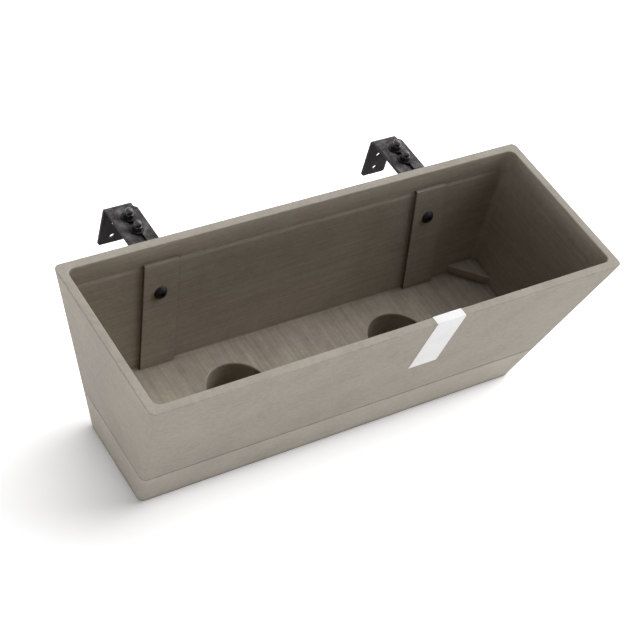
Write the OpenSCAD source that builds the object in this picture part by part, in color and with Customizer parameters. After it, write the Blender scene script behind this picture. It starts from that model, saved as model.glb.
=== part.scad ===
// Window box planter: a leaning-sided pot that stands on a water tray and hangs from
// two slotted rail brackets. The origin is the centre of the tray's base, +X runs
// along the box, +Y points to the rail and +Z points up. Lengths are millimetres.

/* [Box] */
// Outside length of the rim
rim_length = 604; // [540:1:900]
// Outside width of the rim
rim_width = 214; // [200:1:260]
// Height of the rim above the tray's base
box_height = 221; // [205:1:260]
// How far each wall leans in from the rim to the base
wall_lean = 48.8; // [36:0.1:52]
// Radius of the four upright corners outside
corner_r = 7; // [4:0.5:12]
// Thickness of the leaning walls, measured level
wall = 5.9; // [3.6:0.1:6.5]
// Width of the rim's flat top
rim_land = 10.5; // [8:0.1:12]
// Height of the upright band inside the rim
rim_band = 28; // [24:1:32]
// Corner radius of the upright band
band_corner_r = 8; // [4:0.5:12]
// Thickness of the pot's floor
floor_thickness = 6.4; // [4:0.1:8]

/* [Wells] */
// Distance between the centres of the two wells
well_spacing = 217; // [180:1:240]
// Inside radius of a well below its rounded edge
well_r = 36.5; // [25:0.5:42]
// Inside radius at a well's bottom
well_base_r = 33; // [22:0.5:38]
// Radius of the rounded edge where a well meets the floor
well_edge_r = 2; // [1:0.5:4]
// Wall and bottom thickness of a well
well_wall = 3; // [2:0.5:4]
// Gap between a well's bottom and the tray's floor
well_gap = 2; // [1:0.5:5]
// Number of water holes in a well's bottom
wick_holes = 6; // [3:1:8]
// Radius of a water hole
wick_hole_r = 3; // [2:0.5:5]
// Radius of the circle that the water holes lie on
wick_ring_r = 20; // [15:1:24]

/* [Water tray] */
// Height of the tray, up to its seam with the pot
tray_height = 57.6; // [45:0.1:65]
// Wall thickness of the tray, measured level
tray_wall = 4; // [3:0.1:5]
// Floor thickness of the tray
tray_floor = 4; // [3:0.1:6]
// Radius of the overflow hole in the tray's back wall
overflow_r = 4; // [2.5:0.5:6]
// Distance from the seam down to the overflow hole's centre
overflow_drop = 12; // [8:1:20]

/* [Corner pads and posts] */
// Length of a corner pad along the long wall
pad_length = 34; // [28:0.5:45]
// Length of a corner pad along the end wall
pad_width = 32.5; // [28:0.5:42]
// Height of a corner pad above the floor
pad_rise = 12; // [6:0.5:16]
// Thickness of the pad round the tray's post
pad_skin = 3; // [2:0.5:4]
// Gap between a post and its pad
post_gap = 0.5; // [0.3:0.1:1]

/* [Arms] */
// Distance between the two brackets
bracket_spacing = 356; // [260:2:400]
// Thickness of the steel plates
plate = 3; // [2:0.5:4]
// Inside radius of the plates' bends
bend_r = 3; // [2:0.5:5]
// Distance from the rim down to the arm's underside
arm_below_rim = 32.6; // [30:0.1:45]
// Width of the arm
arm_width = 35.5; // [26:0.5:40]
// How far the arm stands out from the back wall
arm_reach = 84.5; // [76:0.1:110]
// Corner cut of the arm's two ends
arm_corner = 3.5; // [2:0.5:8]
// Height of the leg's foot above the tray's seam
leg_foot = 29.5; // [15:0.5:50]
// How deep the leg's outer face lies below the back wall
leg_sunk = 0.3; // [0.1:0.1:1]
// Gap between the leg's edges and its recess
recess_gap = 0.5; // [0.3:0.1:1]
// Room in the recess above the arm's bend and below its leg
recess_room = 2.4; // [1:0.1:5]
// Material beside and above the recess, inside the pot
strip_border = 2.7; // [2:0.1:6]
// Width of the arm's slot
slot_width = 7; // [6.6:0.1:9]
// Distance between the centres of the slot's round ends
slot_travel = 53; // [40:1:58]
// Distance from the arm's end to the slot's outer centre
slot_margin = 12.5; // [9:0.1:14]

/* [Hooks] */
// Width of the hook
hook_width = 32.5; // [26:0.5:40]
// Distance from the outer clamp bolt to the hook's outer face
hook_reach = 25.9; // [20:0.1:60]
// Distance from the inner clamp bolt to the hook's free edge
hook_tail = 17; // [9:0.1:18]
// Depth of the hook from its top to its lower edge
hook_drop = 56.7; // [45:0.1:90]
// Corner cut of the hook's lower edge
hook_corner = 2; // [1:0.5:8]
// Radius of the two screw holes in the hook's drop
screw_hole_r = 3.25; // [2:0.05:4]
// Distance between the two screw holes
screw_hole_pitch = 20; // [12:1:24]
// Distance from the lower edge to the first screw hole
screw_hole_margin = 10; // [8:0.5:14]

/* [Clamp bolts] */
// Distance between the two clamp bolts of a hook
clamp_pitch = 20; // [18.5:0.5:24]
// Play left between the outer bolt and the slot's outer end
clamp_play = 2; // [1.9:0.1:3]
// Radius of the clamp bolt's thread
clamp_r = 3; // [2.5:0.1:3.2]
// How far the bolt's square neck passes through the hook into the slot
neck_reach = 1; // [0.5:0.1:1.8]
// Gap round the square neck in the hook
neck_gap = 0.1; // [0.05:0.05:0.3]
// Radius of the clamp bolt's domed head
clamp_head_r = 8; // [6:0.1:8.4]
// Height of the clamp bolt's domed head
clamp_head_height = 3.5; // [2.5:0.1:4.5]
// Gap between the clamp bolt's end and the bottom of its nut's thread
clamp_end_gap = 0.4; // [0.2:0.1:2]
// Radius of the clamp washer
clamp_washer_r = 8; // [7:0.1:9.8]
// Thickness of the clamp washer
clamp_washer_thickness = 1.6; // [1:0.1:2]
// Width across the flats of the dome nut
dome_nut_flats = 10; // [10:0.1:12]
// Height of the dome nut's six-sided part
dome_nut_hex_height = 5.5; // [4:0.1:6.5]
// Radius of the dome
dome_r = 4.75; // [4.2:0.05:5]
// Height of the dome's centre above the nut's base
dome_centre_height = 6.8; // [6.2:0.1:9]
// Depth of the dome nut's thread
dome_thread_depth = 8.8; // [8.6:0.1:9.4]

/* [Wall bolts] */
// Distance down the leg from its bend to the wall bolt
wall_bolt_drop = 30; // [20:0.1:60]
// Radius of the wall bolt's thread
wall_bolt_r = 4; // [3:0.1:4.1]
// Radius of the hole for the wall bolt
wall_hole_r = 4.25; // [4.2:0.05:5]
// Radius of the wall bolt's button head
button_r = 8; // [6:0.1:9]
// Height of the button head
button_height = 5; // [3.5:0.1:6]
// Width across the flats of the key socket
socket_flats = 5; // [3:0.1:6]
// Depth of the key socket
socket_depth = 2.6; // [1.5:0.1:3]
// How far the wall bolt stands out of its nut
wall_bolt_end = 4.3; // [1:0.1:8]
// Radius of the wall washer
wall_washer_r = 8; // [7.6:0.1:10]
// Thickness of the wall washer
wall_washer_thickness = 1.6; // [1:0.1:2]
// Width across the flats of the wall nut
wall_nut_flats = 13; // [11:0.1:14]
// Height of the wall nut
wall_nut_height = 6.5; // [5:0.1:7]
// Radial gap between a thread and its nut
thread_gap = 0.03; // [0.02:0.01:0.08]
// Gap between a thread and its washer
washer_gap = 0.2; // [0.1:0.05:0.5]

/* [Rim tag] */
// Width of the tag's card
tag_width = 37.5; // [25:0.5:60]
// Thickness of the card
tag_thickness = 0.5; // [0.3:0.1:1]
// Place of the card's left edge on the rim
tag_left = 41.2; // [-100:0.1:200]
// How far the card's lower end is shifted along the wall
tag_skew = 4.5; // [0:0.5:10]
// Height of the card on the front wall
tag_drop = 94.5; // [40:0.5:140]
// Gap between the card's flap and the ledge below it
tag_flap_gap = 3; // [1:0.5:10]

/* [Hidden] */
$fn = 64;

// How far a cut runs past the surface that it opens
overrun = 1;
// Flat faces along each quarter of a rounded corner
corner_steps = 10;
// Flat faces along a plate's bend
bend_steps = 12;
// Number of sides of a nut or a key socket
hex_sides = 6;
// Slope of the chamfer on a nut's corners
nut_chamfer_angle = 30;
// Share of a nut's flats that its end face spans
nut_face_share = 0.95;

// Slope of the walls
lean_rate = wall_lean / box_height;
wall_angle = atan(lean_rate);
floor_top = tray_height + floor_thickness;
band_low = box_height - rim_band;

// Corner of the pot's inside at floor level, where the pads start
pad_corner_x = half_length(floor_top) - wall;
pad_corner_y = half_width(floor_top) - wall;
pad_top = floor_top + pad_rise;
// Radius of the circle that fits inside a pad's triangle
pad_inradius = (pad_length + pad_width - norm([pad_length, pad_width])) / 2;

// Centre of the arm's bend, and the depths of its leg and the pot's strip behind it
arm_low = box_height - arm_below_rim;
bend_z = arm_low - bend_r;
bend_y = half_width(bend_z) + (bend_r - leg_sunk) / cos(wall_angle);
leg_back = bend_r + plate;
leg_length = (bend_z - tray_height - leg_foot) / cos(wall_angle);
strip_back = leg_back + wall;
recess_width = arm_width + 2 * recess_gap;
strip_width = recess_width + 2 * strip_border;
recess_top = leg_back + recess_room;
strip_top = bend_z + recess_top * cos(wall_angle) + strip_border;

// Places along the arm and the hook
arm_top = arm_low + plate;
arm_end = half_width(arm_low) + arm_reach;
slot_outer = arm_end - slot_margin;
outer_bolt = slot_outer - clamp_play;
inner_bolt = outer_bolt - clamp_pitch;
hook_face = outer_bolt + hook_reach;
hook_low = arm_low - hook_drop;
hook_under = arm_low - plate;

// Lengths that follow what the bolts pass through
neck_width = 2 * clamp_r;
neck_length = plate + neck_reach;
clamp_length = 2 * plate + clamp_washer_thickness + dome_thread_depth - clamp_end_gap;
wall_bolt_length = wall + plate + wall_washer_thickness + wall_nut_height + wall_bolt_end;

// Half the outside length and width of the box at a level
function half_length(level) = rim_length / 2 - lean_rate * (box_height - level);
function half_width(level) = rim_width / 2 - lean_rate * (box_height - level);

// Points of a rounded rectangle at a level, counter-clockwise from the +X side
function rounded_ring(half_x, half_y, r, level) = [
  for (corner = [[1, 1, 0], [-1, 1, 90], [-1, -1, 180], [1, -1, 270]])
    for (step = [0:corner_steps])
      let (turn = corner[2] + 90 * step / corner_steps)
        [
          corner[0] * (half_x - r) + r * cos(turn),
          corner[1] * (half_y - r) + r * sin(turn),
          level
        ]
];

// Points on a circle and along an arc, in the plane of a plate's profile
function on_circle(centre, r, turn) = centre + r * [cos(turn), sin(turn)];
function arc(centre, r, from, to) = [
  for (step = [0:bend_steps])
    on_circle(centre, r, from + (to - from) * step / bend_steps)
];

// Solid between two rings that have the same number of points
module ring_solid(low_ring, high_ring) {
  count = len(low_ring);
  side_faces = [
    for (i = [0:count - 1])
      let (next = (i + 1) % count)
        [i, i + count, next + count, next]
  ];
  low_face = [for (i = [0:count - 1]) i];
  high_face = [for (i = [0:count - 1]) 2 * count - 1 - i];
  polyhedron(points = concat(low_ring, high_ring), faces = concat([low_face, high_face], side_faces));
}

// Level slice of space that is wider than the box
module level_slab(low, high) {
  translate([-rim_length, -rim_width, low])
    cube([2 * rim_length, 2 * rim_width, high - low]);
}

// The box's leaning form between two levels, drawn in by a level inset
module leaning_block(low, high, inset, r) {
  below = low - overrun;
  above = high + overrun;
  intersection() {
    ring_solid(
      rounded_ring(half_length(below) - inset, half_width(below) - inset, r, below),
      rounded_ring(half_length(above) - inset, half_width(above) - inset, r, above)
    );
    level_slab(low, high);
  }
}

// Upright opening inside the rim
module band_cut() {
  half_x = rim_length / 2 - rim_land;
  half_y = rim_width / 2 - rim_land;
  above = box_height + overrun;
  ring_solid(
    rounded_ring(half_x, half_y, band_corner_r, band_low),
    rounded_ring(half_x, half_y, band_corner_r, above)
  );
}

// Triangle in the corner of the pot's floor, drawn in from its three sides
module pad_outline(inset) {
  shrink_share = 1 - inset / pad_inradius;
  translate([pad_corner_x - inset, pad_corner_y - inset])
    polygon([[0, 0], [-pad_length * shrink_share, 0], [0, -pad_width * shrink_share]]);
}

// Triangle of the pad run out into the leaning walls
module pad_reach_outline() {
  reach_share = 1 + wall / pad_length + wall / pad_width;
  translate([pad_corner_x + wall, pad_corner_y + wall])
    polygon([[0, 0], [-pad_length * reach_share, 0], [0, -pad_width * reach_share]]);
}

module at_corners() {
  for (flip_x = [0, 1], flip_y = [0, 1])
    mirror([flip_x, 0, 0])
      mirror([0, flip_y, 0])
        children();
}

module at_wells() {
  for (side = [-1, 1])
    translate([side * well_spacing / 2, 0, 0])
      children();
}

module at_bracket(side) {
  translate([side * bracket_spacing / 2, 0, 0])
    children();
}

module at_brackets() {
  for (side = [-1, 1])
    at_bracket(side)
      children();
}

// Frame at the centre of the arm's bend: Y leaves the back wall squarely, Z runs up it
module at_bend() {
  translate([0, bend_y, bend_z])
    rotate([-wall_angle, 0, 0])
      children();
}

// Frame on the wall bolt's axis: Z leaves the back wall squarely
module on_wall_bolt(depth) {
  at_bend()
    translate([0, -depth, -wall_bolt_drop])
      rotate([-90, 0, 0])
        children();
}

module at_clamp_bolts(level) {
  for (place = [inner_bolt, outer_bolt])
    translate([0, place, level])
      children();
}

// Plate with a bent profile in the Y and Z plane
module bent_plate(outline, width) {
  rotate([90, 0, 90])
    linear_extrude(height = width, center = true)
      polygon(outline);
}

// Straight block in the bend's frame, from a depth behind it to a depth in front
module bend_block(width, back, front, low, high) {
  translate([-width / 2, -back, low])
    cube([width, back - front, high - low]);
}

// Cuts off the corner of a plate that lies flat, by this much along each edge
module corner_cut(size, thickness, side) {
  rotate([0, 0, side * 45])
    cube([size * sqrt(2), 2 * size * sqrt(2), 2 * thickness + 2 * overrun], center = true);
}

module hex_blank(flats, height) {
  corner = flats / 2 / cos(180 / hex_sides);
  face_r = flats / 2 * nut_face_share;
  chamfer = (corner - face_r) * tan(nut_chamfer_angle);
  intersection() {
    cylinder(h = height, r = corner, $fn = hex_sides);
    rotate_extrude()
      polygon([
        [0, 0], [face_r, 0], [corner, chamfer],
        [corner, height - chamfer], [face_r, height], [0, height]
      ]);
  }
}

// Low dome that stands on the level below it
module dome_cap(r, height) {
  ball_r = (r * r + height * height) / (2 * height);
  intersection() {
    translate([0, 0, height - ball_r])
      sphere(r = ball_r);
    cylinder(h = height, r = r);
  }
}

module washer(outer_r, hole_r, thickness) {
  difference() {
    cylinder(h = thickness, r = outer_r);
    translate([0, 0, -overrun])
      cylinder(h = thickness + 2 * overrun, r = hole_r);
  }
}

// Outside of a well, hanging from the pot's floor
module well_cup() {
  low = tray_floor + well_gap;
  translate([0, 0, low])
    cylinder(h = floor_top - well_edge_r - low, r1 = well_base_r + well_wall, r2 = well_r + well_wall);
}

// Inside of a well with its rounded edge
module well_cut() {
  low = tray_floor + well_gap + well_wall;
  edge_low = floor_top - well_edge_r;
  rotate_extrude()
    difference() {
      polygon([
        [0, low], [well_base_r, low], [well_r, edge_low],
        [well_r + well_edge_r, edge_low],
        [well_r + well_edge_r, floor_top + overrun], [0, floor_top + overrun]
      ]);
      translate([well_r + well_edge_r, edge_low])
        circle(r = well_edge_r);
    }
  for (i = [0:wick_holes - 1])
    rotate([0, 0, 360 * i / wick_holes])
      translate([wick_ring_r, 0, low - well_wall - overrun])
        cylinder(h = well_wall + 2 * overrun, r = wick_hole_r);
}

module tray_posts() {
  post_top = pad_top - pad_skin - post_gap;
  intersection() {
    at_corners()
      linear_extrude(height = post_top)
        pad_outline(pad_skin + post_gap);
    leaning_block(0, post_top, tray_wall / 2, corner_r);
  }
}

module water_tray() {
  color([0.56, 0.525, 0.48])
    difference() {
      union() {
        difference() {
          leaning_block(0, tray_height, 0, corner_r);
          leaning_block(tray_floor, tray_height + overrun, tray_wall, corner_r);
        }
        tray_posts();
      }
      translate([0, half_width(tray_height), tray_height - overflow_drop])
        rotate([90, 0, 0])
          cylinder(h = wall_lean, r = overflow_r);
    }
}

// Raised strip inside the pot that backs the recess for the arm's leg
module back_strip() {
  intersection() {
    at_bend()
      bend_block(strip_width, strip_back, leg_back - plate / 2, -box_height, box_height);
    level_slab(tray_height + floor_thickness / 2, strip_top);
    leaning_block(tray_height, box_height, wall / 2, corner_r);
  }
}

module corner_pads() {
  intersection() {
    at_corners()
      translate([0, 0, tray_height])
        linear_extrude(height = pad_top - tray_height)
          pad_reach_outline();
    leaning_block(tray_height, pad_top, wall / 2, corner_r);
  }
}

module recess_cut() {
  at_bend()
    bend_block(recess_width, leg_back, -bend_r, -leg_length - recess_room, recess_top);
  on_wall_bolt(strip_back + overrun)
    cylinder(h = strip_back, r = wall_hole_r);
}

module planter_shell() {
  color([0.62, 0.58, 0.55])
    difference() {
      union() {
        difference() {
          leaning_block(tray_height, box_height, 0, corner_r);
          leaning_block(floor_top, band_low, wall, corner_r);
          band_cut();
        }
        at_brackets()
          back_strip();
        corner_pads();
        at_wells()
          well_cup();
      }
      at_wells()
        well_cut();
      at_brackets()
        recess_cut();
      at_corners()
        translate([0, 0, tray_height - overrun])
          linear_extrude(height = pad_top - pad_skin - tray_height + overrun)
            pad_outline(pad_skin);
    }
}

// Folded card: front wall, rim and a short flap inside
module rim_tag() {
  card_low = box_height - tag_drop;
  front = -rim_width / 2;
  inside = front + rim_land;
  level_thickness = tag_thickness / cos(wall_angle);
  card_top = box_height + tag_thickness;
  front_low = -half_width(card_low);
  flap_low = band_low + tag_flap_gap;
  color([0.93, 0.93, 0.92])
    intersection() {
      translate([tag_left, 0, 0])
        rotate([90, 0, 90])
          linear_extrude(height = tag_width + tag_skew)
            polygon([
              [front_low, card_low], [front_low - level_thickness, card_low],
              [-half_width(card_top) - level_thickness, card_top],
              [inside + tag_thickness, card_top],
              [inside + tag_thickness, flap_low], [inside, flap_low],
              [inside, box_height], [front, box_height]
            ]);
      rotate([90, 0, 0])
        linear_extrude(height = rim_width)
          polygon([
            [tag_left, card_top], [tag_left + tag_width, card_top],
            [tag_left + tag_width + tag_skew, card_low], [tag_left + tag_skew, card_low]
          ]);
    }
}

module arm_slot() {
  slot_r = slot_width / 2;
  low = arm_low - overrun;
  height = plate + 2 * overrun;
  for (place = [slot_outer - slot_travel, slot_outer])
    translate([0, place, low])
      cylinder(h = height, r = slot_r);
  translate([-slot_r, slot_outer - slot_travel, low])
    cube([slot_width, slot_travel, height]);
}

module arm() {
  bend = [bend_y, bend_z];
  leg_turn = 180 - wall_angle;
  leg_down = leg_length * [-sin(wall_angle), -cos(wall_angle)];
  outline = concat(
    [[arm_end, arm_low], [arm_end, arm_top]],
    arc(bend, leg_back, 90, leg_turn),
    [on_circle(bend, leg_back, leg_turn) + leg_down, on_circle(bend, bend_r, leg_turn) + leg_down],
    arc(bend, bend_r, leg_turn, 90)
  );
  color([0.2, 0.2, 0.21])
    difference() {
      bent_plate(outline, arm_width);
      arm_slot();
      for (side = [-1, 1])
        translate([side * arm_width / 2, arm_end, arm_low])
          corner_cut(arm_corner, plate, side);
      at_bend()
        for (side = [-1, 1])
          translate([side * arm_width / 2, -leg_back, -leg_length])
            rotate([90, 0, 0])
              corner_cut(arm_corner, plate, -side);
      on_wall_bolt(leg_back + overrun)
        cylinder(h = plate + 2 * overrun, r = wall_hole_r);
    }
}

module hook() {
  neck_hole = neck_width + 2 * neck_gap;
  tail = inner_bolt - hook_tail;
  bend = [hook_face - plate - bend_r, hook_under - bend_r];
  outline = concat(
    [[tail, hook_under], [tail, arm_low]],
    arc(bend, bend_r + plate, 90, 0),
    [[hook_face, hook_low], [hook_face - plate, hook_low]],
    arc(bend, bend_r, 0, 90)
  );
  color([0.2, 0.2, 0.21])
    difference() {
      bent_plate(outline, hook_width);
      at_clamp_bolts(hook_under)
        translate([-neck_hole / 2, -neck_hole / 2, -overrun])
          cube([neck_hole, neck_hole, plate + 2 * overrun]);
      for (step = [0, 1])
        translate([0, hook_face + overrun, hook_low + screw_hole_margin + step * screw_hole_pitch])
          rotate([90, 0, 0])
            cylinder(h = plate + 2 * overrun, r = screw_hole_r);
      for (side = [-1, 1])
        translate([side * hook_width / 2, hook_face, hook_low])
          rotate([90, 0, 0])
            corner_cut(hook_corner, plate, -side);
    }
}

module clamp_bolts() {
  color([0.1, 0.1, 0.1])
    at_clamp_bolts(hook_under) {
      mirror([0, 0, 1])
        dome_cap(clamp_head_r, clamp_head_height);
      translate([-neck_width / 2, -neck_width / 2, 0])
        cube([neck_width, neck_width, neck_length]);
      cylinder(h = clamp_length, r = clamp_r);
    }
}

module clamp_washers() {
  color([0.14, 0.14, 0.15])
    at_clamp_bolts(arm_top)
      washer(clamp_washer_r, clamp_r + washer_gap, clamp_washer_thickness);
}

module dome_nuts() {
  color([0.1, 0.1, 0.1])
    at_clamp_bolts(arm_top + clamp_washer_thickness)
      difference() {
        union() {
          hex_blank(dome_nut_flats, dome_nut_hex_height);
          cylinder(h = dome_centre_height, r = dome_r);
          translate([0, 0, dome_centre_height])
            sphere(r = dome_r);
        }
        translate([0, 0, -dome_r])
          cylinder(h = dome_r + dome_thread_depth, r = clamp_r + thread_gap);
      }
}

module wall_bolt() {
  color([0.1, 0.1, 0.1])
    on_wall_bolt(strip_back) {
      cylinder(h = wall_bolt_length, r = wall_bolt_r);
      mirror([0, 0, 1])
        difference() {
          dome_cap(button_r, button_height);
          translate([0, 0, button_height - socket_depth])
            cylinder(h = socket_depth + overrun, r = socket_flats / 2 / cos(180 / hex_sides), $fn = hex_sides);
        }
    }
}

module wall_washer() {
  color([0.14, 0.14, 0.15])
    on_wall_bolt(bend_r)
      washer(wall_washer_r, wall_bolt_r + washer_gap, wall_washer_thickness);
}

module wall_nut() {
  color([0.1, 0.1, 0.1])
    on_wall_bolt(bend_r - wall_washer_thickness)
      difference() {
        hex_blank(wall_nut_flats, wall_nut_height);
        translate([0, 0, -overrun])
          cylinder(h = wall_nut_height + 2 * overrun, r = wall_bolt_r + thread_gap);
      }
}

water_tray();
planter_shell();
rim_tag();
at_bracket(-1) arm();  // left_arm
at_bracket(-1) wall_bolt();  // left_wall_bolt
at_bracket(-1) wall_washer();  // left_wall_washer
at_bracket(-1) wall_nut();  // left_wall_nut
at_bracket(-1) hook();  // left_hook
at_bracket(-1) clamp_bolts();  // left_clamp_bolts
at_bracket(-1) clamp_washers();  // left_clamp_washers
at_bracket(-1) dome_nuts();  // left_dome_nuts
at_bracket(1) arm();  // right_arm
at_bracket(1) wall_bolt();  // right_wall_bolt
at_bracket(1) wall_washer();  // right_wall_washer
at_bracket(1) wall_nut();  // right_wall_nut
at_bracket(1) hook();  // right_hook
at_bracket(1) clamp_bolts();  // right_clamp_bolts
at_bracket(1) clamp_washers();  // right_clamp_washers
at_bracket(1) dome_nuts();  // right_dome_nuts
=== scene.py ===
import math

import bmesh
import bpy
from mathutils import Matrix, Vector


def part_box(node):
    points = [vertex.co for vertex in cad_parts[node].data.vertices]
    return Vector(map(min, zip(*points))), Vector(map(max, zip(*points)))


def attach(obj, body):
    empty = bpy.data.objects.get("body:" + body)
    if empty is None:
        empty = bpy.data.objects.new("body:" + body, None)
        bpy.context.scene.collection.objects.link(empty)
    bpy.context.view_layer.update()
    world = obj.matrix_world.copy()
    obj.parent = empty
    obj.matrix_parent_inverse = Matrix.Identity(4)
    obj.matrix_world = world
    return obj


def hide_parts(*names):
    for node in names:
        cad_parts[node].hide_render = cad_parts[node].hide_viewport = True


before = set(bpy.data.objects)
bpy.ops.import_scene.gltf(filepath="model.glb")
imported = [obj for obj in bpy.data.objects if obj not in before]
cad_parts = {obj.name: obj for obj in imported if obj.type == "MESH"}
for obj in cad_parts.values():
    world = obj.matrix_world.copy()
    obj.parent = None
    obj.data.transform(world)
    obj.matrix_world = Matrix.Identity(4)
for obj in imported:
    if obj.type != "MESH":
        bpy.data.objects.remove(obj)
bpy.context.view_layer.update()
print("frame loaded with", len(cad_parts), "nodes")

# Meshes are shaped in millimetres where the CAD has them, and scaled to metres when they are finished.
metres = 0.001
over = 1         # how far a cutting form runs past what it cuts
near = 0.01      # two levels closer than this are the same

box = {
    "length": 604, "width": 214, "height": 221,
    "lean": 48.8,            # how far the walls lean in from rim to base
    "cornerRadius": 7,
    "seam": 57.6,            # level where the pot stands on the tray
    "steps": 10,             # faces round an upright corner
}
leanRate = box["lean"] / box["height"]
wallAngle = math.atan(leanRate)
zToY = Matrix.Rotation(-math.pi / 2, 4, "X")     # lays a form that stands on Z along Y


def halfLength(level):
    return box["length"] / 2 - leanRate * (box["height"] - level)


def halfWidth(level):
    return box["width"] / 2 - leanRate * (box["height"] - level)


# Mesh tools

def shift(x, y, z):
    return Matrix.Translation((x, y, z))


def onArc(radius, degrees):
    return radius * math.cos(math.radians(degrees)), radius * math.sin(math.radians(degrees))


def facingOut(form):
    bmesh.ops.recalc_face_normals(form, faces=form.faces)
    return form


def addRing(form, halfX, halfY, radius, level):
    place = shift(0, 0, level) @ Matrix.Diagonal((halfX, halfY, 1, 1))
    corners = bmesh.ops.create_grid(form, x_segments=1, y_segments=1, size=1, matrix=place)["verts"]
    dots = bmesh.ops.bevel(form, geom=corners, offset=radius, segments=box["steps"], profile=0.5,
                           affect="VERTICES", material=-1)["verts"]
    face = dots[0].link_faces[0]
    ring = list(face.edges)
    bmesh.ops.delete(form, geom=[face], context="FACES_ONLY")
    return ring


def loftRings(form, rings):
    loops = [addRing(form, *ring) for ring in rings]
    for low, high in zip(loops, loops[1:]):
        bmesh.ops.bridge_loops(form, edges=low + high)
    for end in (loops[0], loops[-1]):
        bmesh.ops.contextual_create(form, geom=end)
    facingOut(form)
    return loops


def roundEdges(form, edges, width, segments=3):
    bmesh.ops.bevel(form, geom=edges, offset=width, segments=segments, profile=0.5,
                    affect="EDGES", material=-1, clamp_overlap=True)


def ringAt(level, inset=0):
    return halfLength(level) - inset, halfWidth(level) - inset, box["cornerRadius"], level


def leaningBlock(low, high, inset):
    form = bmesh.new()
    loftRings(form, [ringAt(low, inset), ringAt(high, inset)])
    return form


def lathe(profile, steps=48, closed=False):
    form = bmesh.new()
    dots = [form.verts.new((r, 0, z)) for r, z in profile]
    nextDots = dots[1:] + dots[:1] if closed else dots[1:]
    line = [form.edges.new(pair) for pair in zip(dots, nextDots)]
    bmesh.ops.spin(form, geom=dots + line, cent=(0, 0, 0), axis=(0, 0, 1), angle=2 * math.pi,
                   steps=steps, use_merge=True)
    bmesh.ops.remove_doubles(form, verts=form.verts, dist=0.001)
    return facingOut(form)


def pull(form, extruded, step):
    dots = [v for v in extruded["geom"] if isinstance(v, bmesh.types.BMVert)]
    bmesh.ops.translate(form, verts=dots, vec=step)


def prism(outline, low, high):
    form = bmesh.new()
    face = form.faces.new([form.verts.new((x, y, low)) for x, y in outline])
    pull(form, bmesh.ops.extrude_face_region(form, geom=[face]), (0, 0, high - low))
    return facingOut(form)


def block(size, centre):
    form = bmesh.new()
    bmesh.ops.create_cube(form, size=1, matrix=shift(*centre) @ Matrix.Diagonal((*size, 1)))
    return form


def cylinder(radius, low, high, sides=40, topRadius=None):
    form = bmesh.new()
    bmesh.ops.create_cone(form, cap_ends=True, segments=sides, radius1=radius, radius2=topRadius or radius,
                          depth=high - low, matrix=shift(0, 0, (low + high) / 2))
    return form


def hexBar(flats, low, high):
    # six-sided, with a corner on +X
    return moved(cylinder(flats / math.sqrt(3), low, high, 6), Matrix.Rotation(math.radians(30), 4, "Z"))


def moved(form, place):
    bmesh.ops.transform(form, matrix=place, verts=form.verts)
    if place.determinant() < 0:
        bmesh.ops.reverse_faces(form, faces=form.faces)
    return form


def addForm(whole, part):
    mesh = bpy.data.meshes.new("part")
    part.to_mesh(mesh)
    part.free()
    whole.from_mesh(mesh)
    bpy.data.meshes.remove(mesh)


def placeObject(name, data):
    placed = bpy.data.objects.new(name, data)
    bpy.context.scene.collection.objects.link(placed)
    return placed


def newPiece(name, form):
    mesh = bpy.data.meshes.new(name)
    form.to_mesh(mesh)
    form.free()
    return placeObject(name, mesh)


def takeForm(piece):
    form = bmesh.new()
    form.from_mesh(piece.data)
    bpy.data.objects.remove(piece)
    return form


def combine(piece, form, operation):
    tool = newPiece("shaper", form)
    change = piece.modifiers.new("shaping", "BOOLEAN")
    change.operation = operation
    change.solver = "EXACT"
    change.object = tool
    bpy.context.view_layer.update()
    shaped = bpy.data.meshes.new_from_object(piece.evaluated_get(bpy.context.evaluated_depsgraph_get()))
    piece.modifiers.clear()
    before, piece.data = piece.data, shaped
    bpy.data.meshes.remove(before)
    toolMesh = tool.data
    bpy.data.objects.remove(tool)
    bpy.data.meshes.remove(toolMesh)
    return piece


def cut(piece, form):
    return combine(piece, form, "DIFFERENCE")


def finishPiece(piece, body, node, material, softEdge=0, edgeAngle=40):
    mesh = piece.data
    mesh.name = piece.name
    mesh.transform(Matrix.Scale(metres, 4))
    mesh.materials.append(material)
    mesh.shade_smooth()
    mesh.set_sharp_from_angle(angle=math.radians(edgeAngle))
    if softEdge:
        soften = piece.modifiers.new("soft edges", "BEVEL")
        soften.width = softEdge * metres
        soften.segments = 2
        soften.limit_method = "ANGLE"
        soften.angle_limit = math.radians(edgeAngle)
    normals = piece.modifiers.new("weighted normals", "WEIGHTED_NORMAL")
    normals.keep_sharp = True
    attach(piece, body)
    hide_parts(node)
    low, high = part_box(node)
    spans = [[v.co[axis] for v in mesh.vertices] for axis in range(3)]
    off = max(max(abs(min(span) - start), abs(max(span) - end))
              for span, start, end in zip(spans, low, high))
    print(f"{piece.name}: {len(mesh.polygons)} faces, box off by {off / metres:.2f} mm")


# Shared shader effects

def newEffect(name, values, results):
    # an effect takes a position and some numbers, and gives numbers
    group = bpy.data.node_groups.new(name, "ShaderNodeTree")
    group.interface.new_socket("Position", in_out="INPUT", socket_type="NodeSocketVector")
    for label, value in values.items():
        socket = group.interface.new_socket(label, in_out="INPUT", socket_type="NodeSocketFloat")
        socket.default_value = value
    for label in results:
        group.interface.new_socket(label, in_out="OUTPUT", socket_type="NodeSocketFloat")
    return group, group.nodes.new("NodeGroupInput").outputs, group.nodes.new("NodeGroupOutput").inputs


def addNode(tree, kind, values=None, **settings):
    node = tree.nodes.new("ShaderNode" + kind)
    for key, value in settings.items():
        setattr(node, key, value)
    for key, value in (values or {}).items():
        node.inputs[key].default_value = value
    return node


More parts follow.
